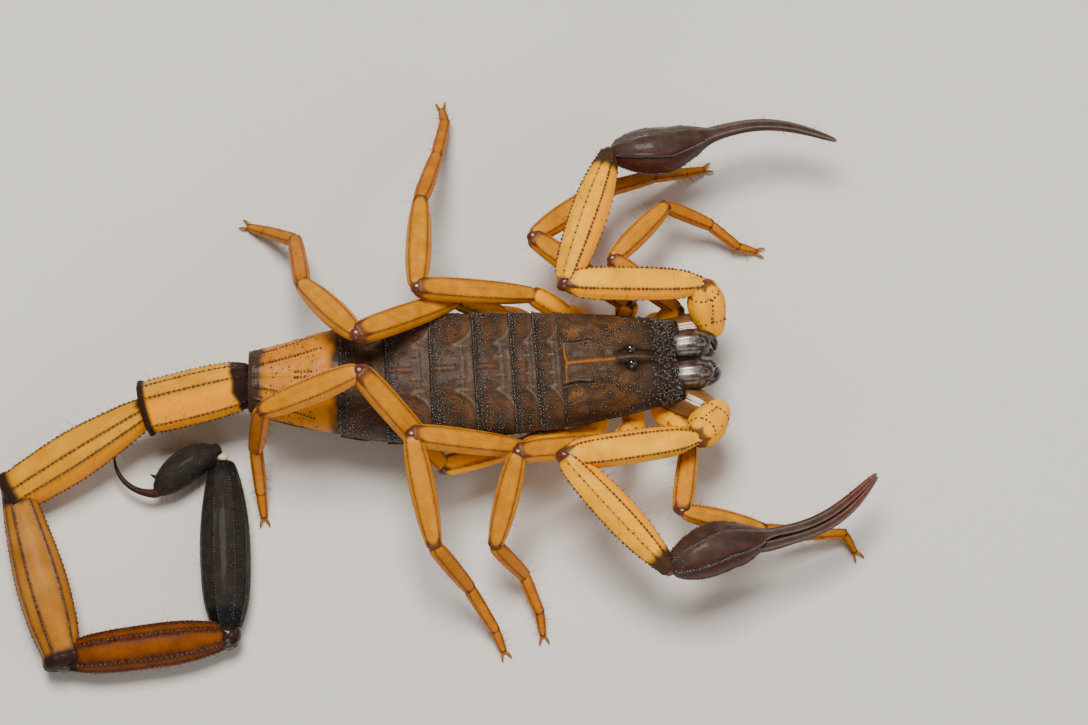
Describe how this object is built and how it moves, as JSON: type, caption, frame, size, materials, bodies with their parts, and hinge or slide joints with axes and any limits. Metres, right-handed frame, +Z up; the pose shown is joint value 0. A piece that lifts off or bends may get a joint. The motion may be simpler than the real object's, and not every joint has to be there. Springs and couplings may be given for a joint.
{
  "type": "scorpion model",
  "caption": "Life-size still scorpion: plated trunk, slender pincers held forward, walking legs spread, and a ringed tail curled flat beside the body with a hooked sting.",
  "frame": {"origin": "on the floor, under the middle of the whole outline", "axes": "+X forwards, towards the head and the fingers' tips; +Y towards the animal's left; +Z up from the floor"},
  "size_m": [0.0538, 0.0366, 0.0115],
  "materials": {
    "dark_shell": "dark brown granular cuticle, satin, of the carapace and back plates",
    "amber_cuticle": "yellow-amber cuticle with soft gloss and dark dotted keels",
    "rust_cuticle": "orange-brown cuticle with black keels, of the fourth tail ring",
    "black_cuticle": "black granular cuticle of the last tail ring and the sting",
    "claw_cuticle": "purple-brown satin cuticle of the hands, fingers and chelicerae, reddish at the tips",
    "eye_black": "glassy black",
    "joint_membrane": "soft folded skin between the plates, from pale flesh to brown"
  },
  "bodies": {
    "root": {"carapace": "dark_shell", "chelicera_left": "claw_cuticle", "chelicera_right": "claw_cuticle", "eye_left": "eye_black", "eye_right": "eye_black", "leg_left_1_coxa": "amber_cuticle", "leg_left_1_femur": "amber_cuticle", "leg_left_1_foot": "amber_cuticle", "leg_left_1_patella": "amber_cuticle", "leg_left_2_coxa": "amber_cuticle", "leg_left_2_femur": "amber_cuticle", "leg_left_2_foot": "amber_cuticle", "leg_left_2_patella": "amber_cuticle", "leg_left_3_coxa": "amber_cuticle", "leg_left_3_femur": "amber_cuticle", "leg_left_3_foot": "amber_cuticle", "leg_left_3_patella": "amber_cuticle", "leg_left_4_coxa": "amber_cuticle", "leg_left_4_femur": "amber_cuticle", "leg_left_4_foot": "amber_cuticle", "leg_left_4_patella": "amber_cuticle", "leg_right_1_coxa": "amber_cuticle", "leg_right_1_femur": "amber_cuticle", "leg_right_1_foot": "amber_cuticle", "leg_right_1_patella": "amber_cuticle", "leg_right_2_coxa": "amber_cuticle", "leg_right_2_femur": "amber_cuticle", "leg_right_2_foot": "amber_cuticle", "leg_right_2_patella": "amber_cuticle", "leg_right_3_coxa": "amber_cuticle", "leg_right_3_femur": "amber_cuticle", "leg_right_3_foot": "amber_cuticle", "leg_right_3_patella": "amber_cuticle", "leg_right_4_coxa": "amber_cuticle", "leg_right_4_femur": "amber_cuticle", "leg_right_4_foot": "amber_cuticle", "leg_right_4_patella": "amber_cuticle", "mesosoma_1": "dark_shell", "mesosoma_2": "dark_shell", "mesosoma_3": "dark_shell", "mesosoma_4": "dark_shell", "mesosoma_5": "dark_shell", "mesosoma_6": "dark_shell", "mesosoma_7": "amber_cuticle", "metasoma_1": "amber_cuticle", "metasoma_2": "amber_cuticle", "metasoma_3": "amber_cuticle", "metasoma_4": "rust_cuticle", "metasoma_5": "black_cuticle", "pedipalp_left_femur": "amber_cuticle", "pedipalp_left_hand": "claw_cuticle", "pedipalp_left_movable_finger": "claw_cuticle", "pedipalp_left_patella": "amber_cuticle", "pedipalp_left_trochanter": "amber_cuticle", "pedipalp_right_femur": "amber_cuticle", "pedipalp_right_hand": "claw_cuticle", "pedipalp_right_movable_finger": "claw_cuticle", "pedipalp_right_patella": "amber_cuticle", "pedipalp_right_trochanter": "amber_cuticle", "telson": "black_cuticle"}
  },
  "joints": []
}
